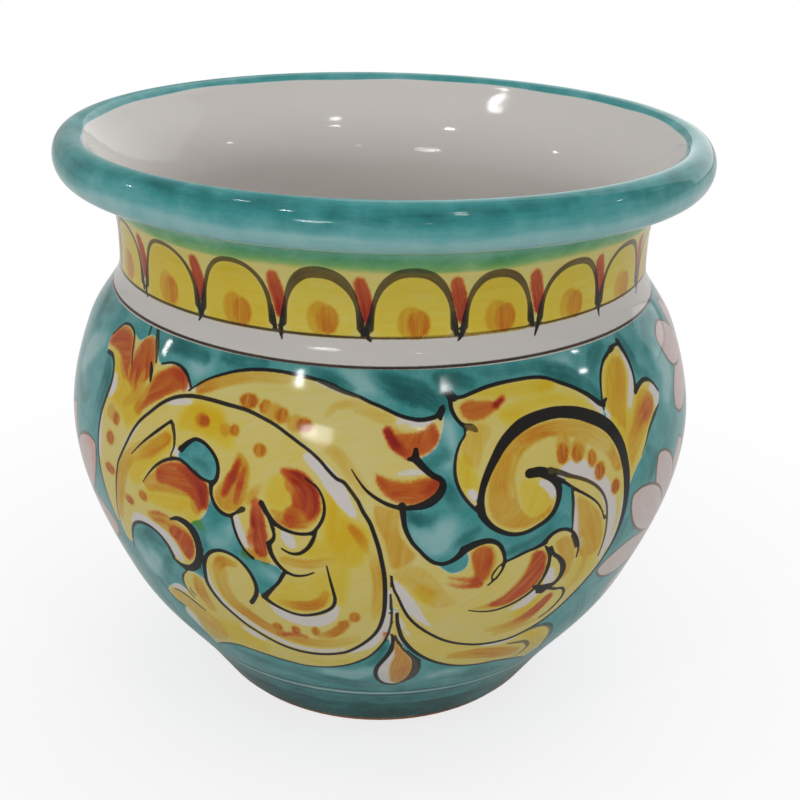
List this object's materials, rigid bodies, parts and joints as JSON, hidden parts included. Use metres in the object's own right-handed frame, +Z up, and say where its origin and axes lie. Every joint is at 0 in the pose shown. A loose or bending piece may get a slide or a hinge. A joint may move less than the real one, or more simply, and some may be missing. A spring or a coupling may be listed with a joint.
{
  "type": "cachepot",
  "caption": "Round-bellied glazed cachepot with a short upright neck, a rolled rim and an open mouth; stands on a foot ring and holds a potted plant.",
  "frame": {"origin": "centre of the circle that the foot ring stands on", "axes": "+Z up along the axis of revolution; -Y towards the side that is painted as the front"},
  "size_m": [0.25, 0.25, 0.2275],
  "materials": {
    "terracotta": "bare fired clay, matte",
    "white_glaze": "glossy white tin glaze",
    "rim_glaze": "glossy teal glaze, brushed",
    "neck_glaze": "glossy yellow painted glaze",
    "belly_glaze": "glossy painted glaze, teal ground with yellow scrolls",
    "foot_glaze": "glossy teal glaze, brushed"
  },
  "bodies": {
    "root": {"clay_body": "terracotta", "inner_glaze": "white_glaze", "rim_glaze": "rim_glaze", "neck_glaze": "neck_glaze", "white_band_glaze": "white_glaze", "belly_glaze": "belly_glaze", "foot_glaze": "foot_glaze"}
  },
  "joints": []
}
